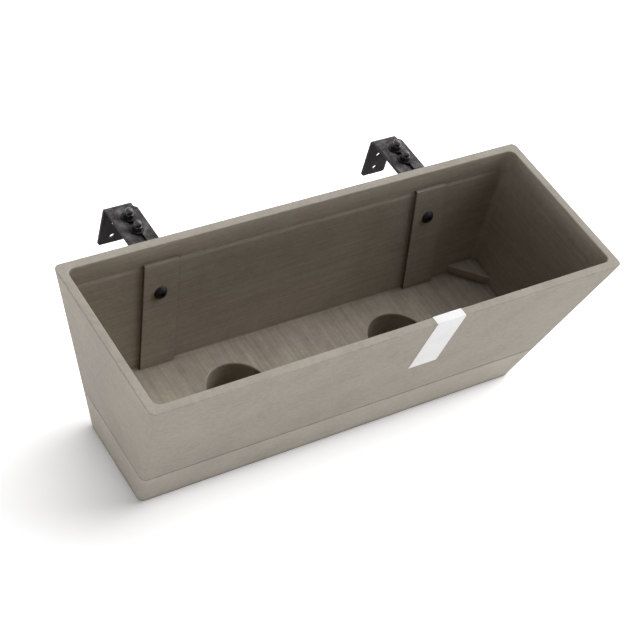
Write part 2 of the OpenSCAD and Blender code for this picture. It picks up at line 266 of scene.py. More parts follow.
def fill(tree, socket, value):
    # a socket takes a number, a colour or a link
    if isinstance(value, (int, float)):
        socket.default_value = value
    elif isinstance(value, tuple):
        socket.default_value = (*value, 1.0)
    else:
        tree.links.new(value, socket)


def addMath(tree, operation, *values, clamp=False):
    node = addNode(tree, "Math", operation=operation, use_clamp=clamp)
    for place, value in enumerate(values):
        fill(tree, node.inputs[place], value)
    return node.outputs[0]


def plus(tree, total, *others):
    for other in others:
        total = addMath(tree, "ADD", total, other)
    return total


def times(tree, product, *others):
    for other in others:
        product = addMath(tree, "MULTIPLY", product, other)
    return product


def minus(tree, first, second):
    return addMath(tree, "SUBTRACT", first, second)


def splitVector(tree, vector):
    node = addNode(tree, "SeparateXYZ")
    tree.links.new(vector, node.inputs[0])
    return node.outputs


def addNoise(tree, position, stretch, detail=3.0, roughness=0.55):
    mapping = addNode(tree, "Mapping", {"Scale": stretch})
    noise = addNode(tree, "TexNoise", {"Scale": 1.0, "Detail": detail, "Roughness": roughness})
    tree.links.new(position, mapping.inputs["Vector"])
    tree.links.new(mapping.outputs["Vector"], noise.inputs["Vector"])
    return noise.outputs["Fac"]


def addRange(tree, value, low, high, outLow=0.0, outHigh=1.0, smooth=True):
    ends = {"From Min": low, "From Max": high, "To Min": outLow, "To Max": outHigh}
    node = addNode(tree, "MapRange", ends, interpolation_type="SMOOTHSTEP" if smooth else "LINEAR")
    tree.links.new(value, node.inputs["Value"])
    return node.outputs["Result"]


def addBlend(tree, share, first, second):
    # a number mixed between two others by a share
    node = addNode(tree, "Mix", data_type="FLOAT")
    for place, value in ((0, share), (2, first), (3, second)):
        fill(tree, node.inputs[place], value)
    return node.outputs[0]


grainLook = {
    # waves per metre
    "wallStreak": (9.0, 9.0, 420.0),       # long and level on the walls
    "floorStreak": (300.0, 9.0, 9.0),      # front to back on the floor
    "fineStreak": (40.0, 40.0, 1100.0), "fleck": (190.0, 190.0, 260.0),
    "mottle": 30.0, "cloud": 7.0, "speck": 900.0, "pore": 620.0,
    "tilt": 2.2,                           # degrees, so that no streak runs dead level
    "outsideShare": 0.35, "floorShare": 1.5, "fineShare": 0.5, "fleckShare": 1.6,
    "reliefShares": (0.6, 0.25, 0.35),     # of streaks, specks and pores
    # where an effect sets in and where it is full
    "level": (0.6, 0.9), "sideways": (0.80, 0.95),     # by the way a face looks
    "floorTop": (0.079, 0.075),            # by height, in metres as the next three
    "rimDrop": (0.0002, 0.0014),           # by depth below the rim
    "skin": (0.0025, 0.0045),              # by depth below the outside
    "stripsEnd": (0.215, 0.205),           # by distance from the middle, past the strips and wells
    "specks": (0.60, 0.74), "pores": (0.30, 0.42),     # by noise value
}


# grain and tone of the composite, with a mask for the inside and a mask for the painted shade on side faces
def makeGrain():
    look = grainLook
    group, given, made = newEffect("compositeGrain", {"Streak": 0.5, "Mottle": 0.5},
                                   ("Tone", "Specks", "Height", "Inside", "Side"))
    position = given["Position"]
    place = splitVector(group, position)
    facing = splitVector(group, addNode(group, "NewGeometry").outputs["True Normal"])
    fromMiddle = [addMath(group, "ABSOLUTE", place[axis]) for axis in "XY"]
    level = addRange(group, addMath(group, "ABSOLUTE", facing["Z"]), *look["level"])
    below = addRange(group, place["Z"], *look["floorTop"])
    onFloor = times(group, level, below)
    tilt = addNode(group, "Mapping", {"Rotation": (0.0, math.radians(look["tilt"]), 0.0)})
    group.links.new(position, tilt.inputs["Vector"])
    tilted = tilt.outputs["Vector"]
    wallStreak = addNoise(group, tilted, look["wallStreak"], detail=5.0, roughness=0.62)
    floorStreak = addNoise(group, position, look["floorStreak"], detail=5.0, roughness=0.62)
    fineStreak = addNoise(group, tilted, look["fineStreak"], detail=2.0)
    streak = addBlend(group, onFloor, wallStreak, floorStreak)
    # how far a point lies in from the leaning outside of the end walls and of the long walls
    drawnIn = times(group, minus(group, box["height"] * metres, place["Z"]), leanRate)
    depths = [minus(group, minus(group, box[size] / 2 * metres, drawnIn), distance)
              for size, distance in zip(("length", "width"), fromMiddle)]
    inward = addRange(group, addMath(group, "MINIMUM", *depths), *look["skin"])
    underRim = addRange(group, place["Z"], *(box["height"] * metres - drop for drop in look["rimDrop"]))
    inside = times(group, inward, underRim)
    group.links.new(inside, made["Inside"])
    # painted shade: a mask on the inside faces that look along X near the strips and wells, which the
    # material darkens
    sideways = addRange(group, addMath(group, "ABSOLUTE", facing["X"]), *look["sideways"])
    midway = addRange(group, fromMiddle[0], *look["stripsEnd"])
    group.links.new(times(group, sideways, midway, inside), made["Side"])
    wallShare = addRange(group, inside, 0.0, 1.0, look["outsideShare"], 1.0, smooth=False)
    shown = plus(group, wallShare, times(group, onFloor, look["floorShare"] - 1))
    amount = times(group, given["Streak"], shown)
    fleck = addNoise(group, position, look["fleck"], roughness=0.6)
    mottle, cloud, speck, pore = (
        addNoise(group, position, (look[key],) * 3, detail)
        for key, detail in (("mottle", 4.0), ("cloud", 2.0), ("speck", 1.0), ("pore", 2.0)))
    streakPart = times(group, minus(group, streak, 0.5), amount)
    finePart = times(group, minus(group, fineStreak, 0.5), amount, look["fineShare"])
    patches = plus(group, mottle, cloud, times(group, fleck, look["fleckShare"]))
    patchMean = (2 + look["fleckShare"]) / 2
    mottlePart = times(group, minus(group, patches, patchMean), given["Mottle"])
    group.links.new(plus(group, 1.0, mottlePart, streakPart, finePart), made["Tone"])
    group.links.new(addRange(group, speck, *look["specks"]), made["Specks"])
    relief = (streak, speck, addRange(group, pore, *look["pores"]))
    parts = [times(group, value, share) for value, share in zip(relief, look["reliefShares"])]
    group.links.new(plus(group, *parts), made["Height"])
    return group


wearLook = {"samples": 6, "bend": (0.995, 0.86), "patch": 240.0, "broken": (0.35, 0.65)}
dustAndTopLightLook = {"up": (0.2, 0.95), "patch": 90.0, "settled": (0.35, 0.75)}
creaseLook = {"samples": 8, "open": (0.30, 0.92), "patch": 60.0, "uneven": 0.1}


def makeEdgeWear():
    # 1 where an edge is rubbed, broken up by noise, and 0 on open faces
    group, given, made = newEffect("edgeWear", {"Radius": 0.0012, "Break": 0.5}, ("Mask",))
    rounded = addNode(group, "Bevel", samples=wearLook["samples"])
    group.links.new(given["Radius"], rounded.inputs["Radius"])
    along = addNode(group, "VectorMath", operation="DOT_PRODUCT")
    group.links.new(rounded.outputs["Normal"], along.inputs[0])
    group.links.new(addNode(group, "NewGeometry").outputs["Normal"], along.inputs[1])
    bend = addRange(group, along.outputs["Value"], *wearLook["bend"])
    patch = addNoise(group, given["Position"], (wearLook["patch"],) * 3)
    broken = times(group, addRange(group, patch, *wearLook["broken"]), given["Break"])
    left = plus(group, minus(group, 1.0, given["Break"]), broken)
    group.links.new(addMath(group, "MULTIPLY", bend, left, clamp=True), made["Mask"])
    return group


def makeDustAndTopLight():
    # pale dust that settles on what faces up, and painted light: on the coated steel it makes the tops
    # paler than the shaded sides
    group, given, made = newEffect("dustAndPaintedTopLight", {"Amount": 0.2}, ("Mask",))
    facing = splitVector(group, addNode(group, "NewGeometry").outputs["Normal"])
    up = addRange(group, facing["Z"], *dustAndTopLightLook["up"])
    patch = addNoise(group, given["Position"], (dustAndTopLightLook["patch"],) * 3, detail=5.0, roughness=0.7)
    amount = times(group, up, addRange(group, patch, *dustAndTopLightLook["settled"]))
    group.links.new(addMath(group, "MULTIPLY", amount, given["Amount"], clamp=True), made["Mask"])
    return group


def makeCrease():
    # 1 on open faces, less where other faces stand close; it sets where shade is painted into creases
    group, given, made = newEffect("creaseShade", {"Reach": 0.01}, ("Open",))
    around = addNode(group, "AmbientOcclusion", samples=creaseLook["samples"])
    group.links.new(given["Reach"], around.inputs["Distance"])
    patch = addNoise(group, given["Position"], (creaseLook["patch"],) * 3)
    uneven = times(group, minus(group, patch, 0.5), creaseLook["uneven"])
    opened = addRange(group, plus(group, around.outputs["AO"], uneven), *creaseLook["open"], smooth=False)
    group.links.new(opened, made["Open"])
    return group


grainEffect = makeGrain()
creaseEffect = makeCrease()
wearEffect = makeEdgeWear()
dustAndTopLightEffect = makeDustAndTopLight()


def useEffect(tree, effect, position, values):
    node = addNode(tree, "Group", node_tree=effect)
    tree.links.new(position, node.inputs["Position"])
    for key, value in values.items():
        node.inputs[key].default_value = value
    return node.outputs


def newMaterial(name):
    material = bpy.data.materials.new(name)
    material.use_nodes = True
    tree = material.node_tree
    shader = tree.nodes["Principled BSDF"]
    position = addNode(tree, "TexCoord").outputs["Object"]
    return material, tree, shader, position


def mixColour(tree, share, first, second, blend="MIX"):
    node = addNode(tree, "Mix", data_type="RGBA", blend_type=blend)
    for place, value in ((0, share), (6, first), (7, second)):
        fill(tree, node.inputs[place], value)
    return node.outputs[2]


def fillShader(tree, shader, look, colour, rough, height):
    bump = addNode(tree, "Bump", {"Strength": look["bump"], "Distance": look["bumpDepth"]})
    tree.links.new(height, bump.inputs["Height"])
    for key, value in (("Base Color", colour), ("Roughness", rough),
                       ("Specular IOR Level", look["specular"]), ("Normal", bump.outputs["Normal"])):
        fill(tree, shader.inputs[key], value)


def makeComposite(name, look):
    material, tree, shader, position = newMaterial(name)
    grain = useEffect(tree, grainEffect, position, {"Streak": look["streak"], "Mottle": look["mottle"]})
    wear = useEffect(tree, wearEffect, position, {"Radius": look["wearRadius"], "Break": look["wearBreak"]})
    crease = useEffect(tree, creaseEffect, position, {"Reach": look["creaseReach"]})
    tone, inside = grain["Tone"], grain["Inside"]
    # the tone swings between a darker and a paler shade of the body colour
    body = mixColour(tree, addRange(tree, tone, *look["swing"], smooth=False), look["dark"], look["pale"])
    specks = times(tree, grain["Specks"], look["speckShare"])
    specked = mixColour(tree, specks, body, look["speck"])
    insideWear = look["wearShare"] * look["insideWearShare"]
    handled = addRange(tree, inside, 0.0, 1.0, look["wearShare"], insideWear, smooth=False)
    rubbed = mixColour(tree, times(tree, wear["Mask"], handled), specked, look["worn"])
    # painted shade: the inside is a little darker than the outside
    shaded = mixColour(tree, inside, rubbed, look["paintedInsideShade"], "MULTIPLY")
    # and painted shade darker still on the strips' and wells' side faces
    sided = mixColour(tree, grain["Side"], shaded, look["paintedSideShade"], "MULTIPLY")
    # painted shade: darker in corners, creases and round the bolts, where other faces stand close
    closed = addRange(tree, crease["Open"], 1.0, 0.0, 0.0, look["creaseShare"], smooth=False)
    creaseShaded = mixColour(tree, closed, sided, look["paintedCreaseShade"], "MULTIPLY")
    rough = addRange(tree, tone, *look["swing"], look["roughHigh"], look["roughLow"], smooth=False)
    fillShader(tree, shader, look, creaseShaded, rough, grain["Height"])
    return material


potLook = {
    "dark": (0.275, 0.248, 0.212), "pale": (0.475, 0.429, 0.368),
    "speck": (0.60, 0.57, 0.53), "speckShare": 0.22,
    "worn": (0.52, 0.48, 0.44), "wearRadius": 0.0014, "wearBreak": 0.7,
    "wearShare": 0.35, "insideWearShare": 0.15,
    # painted shade: the inside colour darkens the inside, the side colour the strips' and wells' side
    # faces, the crease colour corners and creases
    "paintedInsideShade": (0.84, 0.815, 0.775), "paintedSideShade": (0.42, 0.41, 0.40),
    "creaseReach": 0.010, "creaseShare": 0.75, "paintedCreaseShade": (0.30, 0.29, 0.28),
    "streak": 0.40, "mottle": 0.16, "swing": (0.8, 1.2), "roughLow": 0.60, "roughHigh": 0.74,
    "specular": 0.30, "bump": 0.25, "bumpDepth": 0.0002,
}
# painted light: the tray is the same composite as the pot, given paler colours
trayLook = dict(potLook, dark=(0.332, 0.300, 0.260), pale=(0.570, 0.518, 0.452), wearShare=0.25)
potComposite = makeComposite("potComposite", potLook)
trayComposite = makeComposite("trayComposite", trayLook)


noiseSpan = (0.3, 0.7)     # most noise values lie in it


def makeCoatedSteel(name, look):
    material, tree, shader, position = newMaterial(name)
    wear = useEffect(tree, wearEffect, position, {"Radius": 0.0007, "Break": 0.5})
    dustAndTopLight = useEffect(tree, dustAndTopLightEffect, position, {"Amount": look["dustAndTopLight"]})
    peel = addNoise(tree, position, (look["peel"],) * 3)
    grit = addNoise(tree, position, (look["grit"],) * 3, detail=1.0)
    cloud = addNoise(tree, position, (look["cloud"],) * 3)
    base = mixColour(tree, addRange(tree, cloud, *noiseSpan), look["dark"], look["pale"])
    grains = times(tree, addRange(tree, grit, 0.56, 0.70), look["gritShare"])
    gritty = mixColour(tree, grains, base, look["gritColour"])
    edged = mixColour(tree, times(tree, wear["Mask"], look["wearShare"]), gritty, look["edge"])
    # dust and painted light: paler on what faces up
    dustedAndTopLit = mixColour(tree, dustAndTopLight["Mask"], edged, look["dustAndTopLightColour"])
    rough = addRange(tree, peel, *noiseSpan, look["roughLow"], look["roughHigh"])
    height = plus(tree, times(tree, peel, 0.6), times(tree, grit, 0.4))
    fillShader(tree, shader, look, dustedAndTopLit, rough, height)
    return material


steelLook = {
    "dark": (0.016, 0.0145, 0.015), "pale": (0.029, 0.0265, 0.0272), "edge": (0.075, 0.071, 0.071),
    "gritColour": (0.12, 0.112, 0.112), "gritShare": 0.35, "dustAndTopLightColour": (0.24, 0.22, 0.22), "dustAndTopLight": 0.75,
    "peel": 900.0, "grit": 1500.0, "cloud": 40.0, "wearShare": 0.4, "roughLow": 0.50, "roughHigh": 0.68,
    "specular": 0.12, "bump": 0.5, "bumpDepth": 0.0002,
}
blackLook = dict(
    steelLook, dark=(0.006, 0.006, 0.0065), pale=(0.011, 0.010, 0.011), edge=(0.030, 0.030, 0.031),
    gritColour=(0.03, 0.03, 0.03), gritShare=0.3, dustAndTopLightColour=(0.10, 0.096, 0.092), dustAndTopLight=0.04,
    peel=1400.0, grit=3000.0, roughLow=0.40, roughHigh=0.55, specular=0.14, bump=0.2)
polishedLook = dict(
    blackLook, dark=(0.010, 0.010, 0.011), pale=(0.018, 0.017, 0.018), edge=(0.12, 0.12, 0.122),
    gritColour=(0.05, 0.05, 0.05), dustAndTopLightColour=(0.16, 0.15, 0.15), dustAndTopLight=0.06,
    roughLow=0.14, roughHigh=0.26, specular=0.60)
coatedSteel = makeCoatedSteel("coatedSteel", steelLook)
blackFastener = makeCoatedSteel("blackFastener", blackLook)
polishedFastener = makeCoatedSteel("polishedFastener", polishedLook)
cardLook = {
    "white": (0.95, 0.95, 0.945), "shade": (0.91, 0.91, 0.905), "fibreColour": (0.80, 0.795, 0.785),
    "edge": (0.74, 0.73, 0.71), "fibre": (900.0, 900.0, 260.0), "fibreShare": 0.25,
    "cloud": 30.0, "wearShare": 0.5, "roughLow": 0.5, "roughHigh": 0.68,
    "specular": 0.5, "bump": 0.15, "bumpDepth": 0.0001,
}


def makeCard(name, look):
    material, tree, shader, position = newMaterial(name)
    wear = useEffect(tree, wearEffect, position, {"Radius": 0.0005, "Break": 0.4})
    fibre = addNoise(tree, position, look["fibre"], detail=4.0)
    cloud = addNoise(tree, position, (look["cloud"],) * 3, detail=2.0)
    base = mixColour(tree, addRange(tree, cloud, *noiseSpan), look["shade"], look["white"])
    fibres = times(tree, addRange(tree, fibre, 0.52, 0.68), look["fibreShare"])
    fibred = mixColour(tree, fibres, base, look["fibreColour"])
    creased = mixColour(tree, times(tree, wear["Mask"], look["wearShare"]), fibred, look["edge"])
    rough = addRange(tree, fibre, *noiseSpan, look["roughLow"], look["roughHigh"])
    fillShader(tree, shader, look, creased, rough, fibre)
    return material


card = makeCard("card", cardLook)
print("materials made")


# Frames for the brackets, as the CAD has them

bracket = {
    "spacing": 356, "plate": 3, "bendRadius": 3, "armBelowRim": 32.6, "legSunk": 0.3,
    "armWidth": 35.5, "armReach": 84.5, "armCorner": 3.5, "legFoot": 29.5,
    "slotWidth": 7, "slotTravel": 53, "slotMargin": 12.5,
    "wallBoltDrop": 30, "wallHoleRadius": 4.25,
    "softEdge": 0.45,
}
armLow = box["height"] - bracket["armBelowRim"]
armTop = armLow + bracket["plate"]
bendZ = armLow - bracket["bendRadius"]
bendY = halfWidth(bendZ) + (bracket["bendRadius"] - bracket["legSunk"]) / math.cos(wallAngle)
legBack = bracket["bendRadius"] + bracket["plate"]
legLength = (bendZ - box["seam"] - bracket["legFoot"]) / math.cos(wallAngle)
armEnd = halfWidth(armLow) + bracket["armReach"]
slotOuter = armEnd - bracket["slotMargin"]


def atBracket(side, y=0, z=0):
    return shift(side * bracket["spacing"] / 2, y, z)


def atBend(side):
    # Y leaves the back wall squarely and Z runs up it
    return atBracket(side, bendY, bendZ) @ Matrix.Rotation(-wallAngle, 4, "X")


def onWallBolt(side, depth):
    # Z leaves the back wall squarely along the wall bolt
    return atBend(side) @ shift(0, -depth, -bracket["wallBoltDrop"]) @ zToY


# Pot

pot = {
    "wall": 5.9, "rimLand": 10.5, "rimBand": 28, "bandCornerRadius": 8, "floor": 6.4,
    "rimOuterEdge": 1.3, "rimInnerEdge": 1.1, "ledgeEdge": 1.0, "ledgeSlope": 3, "floorFillet": 2.5,
    "seamDepth": 1.6, "seamHeight": 1.1, "seamEdge": 0.3,     # shadow gap above the tray
}
well = {
    "spacing": 217, "radius": 36.5, "baseRadius": 33, "edge": 2, "wall": 3, "low": 6,
    "holes": 6, "holeRadius": 3, "holeRing": 20, "fillet": 2.5, "outerEdge": 1.5,
}
pad = {"length": 34, "width": 32.5, "rise": 12, "skin": 3, "postGap": 0.5, "edge": 1.2}
recess = {"gap": 0.5, "room": 2.4, "border": 2.7, "stripEdge": 0.6}
floorTop = box["seam"] + pot["floor"]
bandLow = box["height"] - pot["rimBand"]
padTop = floorTop + pad["rise"]
padCornerX = halfLength(floorTop) - pot["wall"]
padCornerY = halfWidth(floorTop) - pot["wall"]
stripBack = legBack + pot["wall"]


def cornerTriangle(grow, share):
    # the pad's outline in the corner at +X +Y, with its corner moved out
    cornerX, cornerY = padCornerX + grow, padCornerY + grow
    return [(cornerX, cornerY), (cornerX - pad["length"] * share, cornerY),
            (cornerX, cornerY - pad["width"] * share)]


def shrunkTriangle(gap):
    # all three sides move in
    inradius = (pad["length"] + pad["width"] - math.hypot(pad["length"], pad["width"])) / 2
    return cornerTriangle(-gap, 1 - gap / inradius)


def inEachCorner(outline, low, high, edge=0):
    whole = bmesh.new()
    for turnX in (1, -1):
        for turnY in (1, -1):
            one = prism(outline, low, high)
            if edge:
                roundEdges(one, [e for e in one.edges if min(v.co.z for v in e.verts) > high - near], edge)
            addForm(whole, moved(one, Matrix.Diagonal((turnX, turnY, 1, 1))))
    return whole


def padsReachingOut(low, high):
    # the pad's slanted face stays where it is, and its two other sides run into the walls
    reach = pot["wall"]
    share = 1 + reach / pad["length"] + reach / pad["width"]
    return inEachCorner(cornerTriangle(reach, share), low, high, pad["edge"])


def stripForm(side):
    # the raised strip inside the back wall, from the floor up past the arm's bend
    low = box["seam"] + pot["floor"] / 2
    high = bendZ + (legBack + recess["room"]) * math.cos(wallAngle) + recess["border"]
    half = bracket["armWidth"] / 2 + recess["gap"] + recess["border"]
    inWall = legBack - bracket["plate"] / 2
    form = bmesh.new()
    dots = [form.verts.new((-half, bendY + (level - bendZ) * leanRate - depth / math.cos(wallAngle), level))
            for level, depth in ((low, stripBack), (low, inWall), (high, inWall), (high, stripBack))]
    face = form.faces.new(dots)
    pull(form, bmesh.ops.extrude_face_region(form, geom=[face]), (2 * half, 0, 0))
    facingOut(form)
    roundEdges(form, list(form.edges), recess["stripEdge"])
    return moved(form, atBracket(side))


def recessForm(side):
    width = bracket["armWidth"] + 2 * recess["gap"]
    low, high = -legLength - recess["room"], legBack + recess["room"]
    back, front = -legBack, bracket["bendRadius"]
    form = block((width, front - back, high - low), (0, (front + back) / 2, (low + high) / 2))
    return moved(form, atBend(side))


def wellCut(side):
    low, top, edge = well["low"] + well["wall"], floorTop, well["edge"]
    wide, base, fillet = well["radius"] + edge, well["baseRadius"], well["fillet"]
    flare = [(wide - x, top - edge + z) for x, z in (onArc(edge, a) for a in range(0, 91, 15))]
    bottom = [(base - fillet + z, low + fillet - x)
              for x, z in (onArc(fillet, a) for a in (0, 22, 45, 68, 90))]
    form = lathe([(0, low)] + bottom + flare + [(wide, top + over), (0, top + over)], steps=72)
    return moved(form, shift(side * well["spacing"] / 2, 0, 0))


def wickHoles(side):
    whole = bmesh.new()
    for i in range(well["holes"]):
        x, y = onArc(well["holeRing"], 360 * i / well["holes"])
        place = shift(side * well["spacing"] / 2 + x, y, well["low"] + well["wall"] / 2)
        bmesh.ops.create_cone(whole, cap_ends=True, segments=24, radius1=well["holeRadius"],
                              radius2=well["holeRadius"], depth=well["wall"] + 2 * over, matrix=place)
    return whole


def makePot():
    form = bmesh.new()
    wall, seam, lip = pot["wall"], box["seam"], box["seam"] + pot["seamHeight"]
    sunk = ringAt(seam, pot["seamDepth"])
    band = (*ringAt(box["height"], pot["rimLand"])[:2], pot["bandCornerRadius"])
    loops = loftRings(form, [
        sunk,
        (*sunk[:3], lip),
        ringAt(lip),
        ringAt(box["height"]),
        (*band, box["height"]),
        (*band, bandLow),
        ringAt(bandLow - pot["ledgeSlope"], wall),
        ringAt(floorTop, wall)])
    edges = ("seamEdge", "rimOuterEdge", "rimInnerEdge", "ledgeEdge", "ledgeEdge", "floorFillet")
    for loop, edge in zip(loops[2:], edges):
        roundEdges(form, loop, pot[edge])
    piece = newPiece("potShell", form)
    for side in (-1, 1):
        combine(piece, stripForm(side), "UNION")
    pads = newPiece("pads", padsReachingOut(seam + over, padTop))
    combine(pads, leaningBlock(seam, padTop + over, wall / 2), "INTERSECT")
    combine(piece, takeForm(pads), "UNION")
    for side in (-1, 1):
        cup = cylinder(well["baseRadius"] + well["wall"], well["low"], floorTop - well["edge"], 72,
                       well["radius"] + well["wall"])
        bottom = [e for e in cup.edges if max(v.co.z for v in e.verts) < well["low"] + near]
        roundEdges(cup, bottom, well["outerEdge"])
        combine(piece, moved(cup, shift(side * well["spacing"] / 2, 0, 0)), "UNION")
        cut(piece, wellCut(side))
        cut(piece, wickHoles(side))
        cut(piece, recessForm(side))
        hole = cylinder(bracket["wallHoleRadius"], 0, stripBack + 2 * over)
        cut(piece, moved(hole, onWallBolt(side, stripBack + over)))
    sockets = inEachCorner(shrunkTriangle(pad["skin"]), seam - over, padTop - pad["skin"])
    cut(piece, sockets)
    finishPiece(piece, "pot", "planter_shell", potComposite)


makePot()
print("pot made")


# Water tray

tray = {
    "wall": 4, "floor": 4, "baseEdge": 1.4, "seamEdge": 0.4, "innerEdge": 0.5, "fillet": 2.5,
    "postEdge": 0.8, "overflowRadius": 4, "overflowDrop": 12,
}


def makeTray():
    form = bmesh.new()
    seam, floor, wall = box["seam"], tray["floor"], tray["wall"]
    loops = loftRings(form, [ringAt(0), ringAt(seam), ringAt(seam, wall), ringAt(floor, wall)])
    for loop, edge in zip(loops, ("baseEdge", "seamEdge", "innerEdge", "fillet")):
        roundEdges(form, loop, tray[edge])
    piece = newPiece("waterTray", form)
    postTop = padTop - pad["skin"] - pad["postGap"]
    outline = shrunkTriangle(pad["skin"] + pad["postGap"])
    posts = newPiece("posts", inEachCorner(outline, floor / 4, postTop, tray["postEdge"]))
    combine(posts, leaningBlock(0, postTop + over, wall / 2), "INTERSECT")
    combine(piece, takeForm(posts), "UNION")
    drain = cylinder(tray["overflowRadius"], -5 * wall, 2 * wall, 32)
    place = shift(0, halfWidth(seam), seam - tray["overflowDrop"]) @ zToY
    cut(piece, moved(drain, place))
    finishPiece(piece, "tray", "water_tray", trayComposite)


makeTray()
print("tray made")


# Bent steel plates

def bentPlate(points, width, bendRadius, thickness, corners):
    # a sheet along the inside of the bend, given its thickness outwards; corners are (end, size)
    form = bmesh.new()
    dots = [form.verts.new((-width / 2, y, z)) for y, z in points]
    line = [form.edges.new(pair) for pair in zip(dots, dots[1:])]
    pull(form, bmesh.ops.extrude_edge_only(form, edges=line), (width, 0, 0))
    facingOut(form)
    first, middle, last = (Vector((0, *p)) for p in points)
    turn = math.pi - (first - middle).angle(last - middle)
    for end, size in corners:
        place = Vector((0, *points[end]))
        ends = [v for v in form.verts if (Vector((0, v.co.y, v.co.z)) - place).length < near]
        bmesh.ops.bevel(form, geom=ends, offset=size, segments=1, profile=0.5,
                        affect="VERTICES", material=-1)
    crease = [e for e in form.edges if len(e.link_faces) == 2]
    roundEdges(form, crease, bendRadius * math.tan(turn / 2), segments=12)
    # the sheet's faces must look towards the outside of the bend before it is thickened
    centre = middle + ((first - middle).normalized() + (last - middle).normalized()) * width
    face = max(form.faces, key=lambda f: f.calc_area())
    if (face.calc_center_median() - Vector((0, centre.y, centre.z))).dot(face.normal) < 0:
        bmesh.ops.reverse_faces(form, faces=form.faces)
    bmesh.ops.solidify(form, geom=list(form.faces), thickness=-thickness)
    return facingOut(form)


def slotForm(side):
    width, travel, plate = bracket["slotWidth"], bracket["slotTravel"], bracket["plate"]
    form = block((width, travel + width, 2 * plate + 2 * over),
                 (side * bracket["spacing"] / 2, slotOuter - travel / 2, armLow + plate / 2))
    upright = [e for e in form.edges if abs(e.verts[0].co.z - e.verts[1].co.z) > plate]
    roundEdges(form, upright, width / 2 - 0.002, segments=12)
    return form


def makeArm(side, name, node):
    legLine = Vector((0, -math.sin(wallAngle), -math.cos(wallAngle)))
    radius = bracket["bendRadius"]
    # the leg's outer face and the arm's underside meet here before the bend is rounded
    squareOut = Vector((0, math.cos(wallAngle), -math.sin(wallAngle)))
    onLeg = Vector((0, bendY, bendZ)) - squareOut * radius
    meet = onLeg + legLine * ((armLow - onLeg.z) / legLine.z)
    foot = onLeg + legLine * legLength
    form = bentPlate([(armEnd, armLow), (meet.y, meet.z), (foot.y, foot.z)], bracket["armWidth"], radius,
                     bracket["plate"], [(0, bracket["armCorner"]), (2, bracket["armCorner"])])
    piece = newPiece(name, moved(form, atBracket(side)))
    cut(piece, slotForm(side))
    hole = cylinder(bracket["wallHoleRadius"], 0, bracket["plate"] + 4 * over)
    cut(piece, moved(hole, onWallBolt(side, legBack + 2 * over)))
    finishPiece(piece, "pot", node, coatedSteel, bracket["softEdge"])


hook = {
    "width": 32.5, "reach": 25.9, "tail": 17, "drop": 56.7, "corner": 2,
    "screwRadius": 3.25, "screwPitch": 20, "screwMargin": 10, "neckHole": 6.2,
}
clamp = {
    "pitch": 20, "play": 2, "radius": 3, "neck": 6, "neckReach": 1, "headRadius": 8, "headHeight": 3.5,
    "endGap": 0.4, "washerRadius": 8, "washerHole": 3.2, "washerThickness": 1.6,
    "nutFlats": 10, "hexHeight": 5.5, "domeRadius": 4.75, "domeCentre": 6.8, "domeStart": 3,
    "threadDepth": 8.8, "threadPlay": 0.03, "tip": 0.6,
}
outerBolt = slotOuter - clamp["play"]
innerBolt = outerBolt - clamp["pitch"]
hookFace = outerBolt + hook["reach"]
hookLow = armLow - hook["drop"]
hookUnder = armLow - bracket["plate"]


def makeHook(side, name, node, body):
    plate, neck = bracket["plate"], hook["neckHole"]
    outline = [(innerBolt - hook["tail"], hookUnder), (hookFace - plate, hookUnder),
               (hookFace - plate, hookLow)]
    form = bentPlate(outline, hook["width"], bracket["bendRadius"], plate, [(2, hook["corner"])])
    piece = newPiece(name, moved(form, atBracket(side)))
    for y in (innerBolt, outerBolt):
        centre = (side * bracket["spacing"] / 2, y, hookUnder + plate / 2)
        cut(piece, block((neck, neck, plate + 2 * over), centre))
    for step in (0, 1):
        level = hookLow + hook["screwMargin"] + step * hook["screwPitch"]
        hole = cylinder(hook["screwRadius"], -plate - over, plate)
        cut(piece, moved(hole, atBracket(side, hookFace, level) @ zToY))
    finishPiece(piece, body, node, coatedSteel, bracket["softEdge"])


# Fasteners

def domeProfile(radius, height, steps=7):
    ball = (radius * radius + height * height) / (2 * height)
    full = math.asin(radius / ball)
    return [(ball * math.sin(full * i / steps), height - ball + ball * math.cos(full * i / steps))
            for i in range(steps, -1, -1)]


hexEnd = {"faceShare": 0.95, "slope": 30, "spare": 0.05}     # the round chamfer on a hexagon's ends


def hexBlank(flats, height):
    corner = flats / math.sqrt(3)
    face = flats / 2 * hexEnd["faceShare"]
    slope = (corner - face) * math.tan(math.radians(hexEnd["slope"]))
    wide = corner + hexEnd["spare"]
    blank = newPiece("hexBlank", hexBar(flats, 0, height))
    turned = lathe([(0, 0), (face, 0), (wide, slope),
                    (wide, height - slope), (face, height), (0, height)], steps=60)
    return takeForm(combine(blank, turned, "INTERSECT"))


def twoOf(makeForm, level):
    # the inner and the outer one of a hook, in one form
    whole = bmesh.new()
    for y in (innerBolt, outerBolt):
        addForm(whole, moved(makeForm(), shift(0, y, level)))
    return whole


def carriageBolt():
    radius, tip = clamp["radius"], clamp["tip"]
    length = 2 * bracket["plate"] + clamp["washerThickness"] + clamp["threadDepth"] - clamp["endGap"]
    dome = [(r, -z) for r, z in domeProfile(clamp["headRadius"], clamp["headHeight"])]
    piece = newPiece("carriageBolt", lathe([(0, 0)] + dome, steps=40))
    neckTop = bracket["plate"] + clamp["neckReach"]
    neck = block((clamp["neck"], clamp["neck"], neckTop + over), (0, 0, (neckTop - over) / 2))
    combine(piece, neck, "UNION")
    shank = lathe([(0, over), (radius, over), (radius, length - tip),
                   (radius - tip, length), (0, length)], steps=32)
    return takeForm(combine(piece, shank, "UNION"))


def washerForm(radius, hole, thickness):
    edge = 0.25
    return lathe([(hole, edge), (hole + edge, 0), (radius - edge, 0), (radius, edge),
                  (radius, thickness - edge), (radius - edge, thickness),
                  (hole + edge, thickness), (hole, thickness - edge)], steps=56, closed=True)


